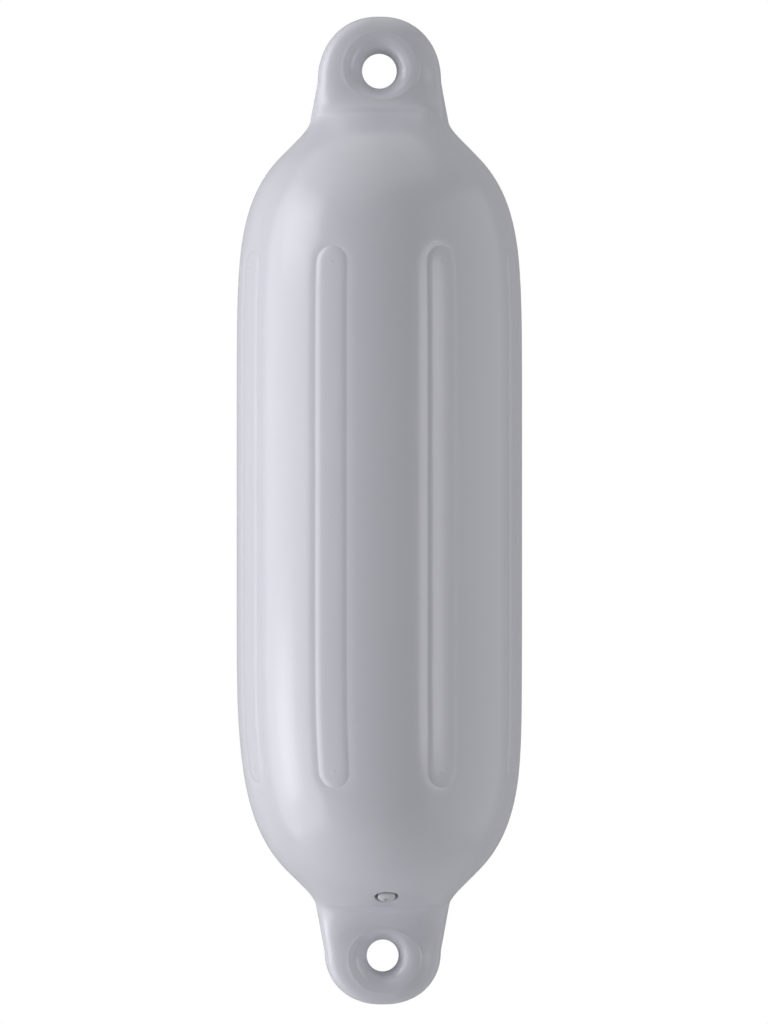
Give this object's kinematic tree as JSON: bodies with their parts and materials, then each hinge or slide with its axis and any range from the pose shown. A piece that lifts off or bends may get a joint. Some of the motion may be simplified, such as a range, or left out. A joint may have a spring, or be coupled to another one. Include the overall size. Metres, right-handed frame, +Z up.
{
  "type": "boat fender",
  "caption": "Cylindrical inflatable boat fender with domed shoulders, long moulded ribs, a rope eye at each end and an inflation valve beside the lower eye.",
  "frame": {"origin": "centre of the hole in the upper eye, which the fender hangs from", "axes": "+Z up along the fender's length, Y through both eye holes with the valve on the -Y side, +X across the eyes"},
  "size_m": [0.14, 0.14, 0.484],
  "materials": {
    "vinyl": "semi-gloss moulded vinyl, cool light grey",
    "bush_plastic": "satin moulded plastic",
    "seal_rubber": "matt black rubber",
    "plug_plastic": "satin moulded plastic, light grey"
  },
  "bodies": {
    "root": {"fender_body": "vinyl", "valve_bush": "bush_plastic", "valve_seal": "seal_rubber", "valve_plug": "plug_plastic"}
  },
  "joints": []
}
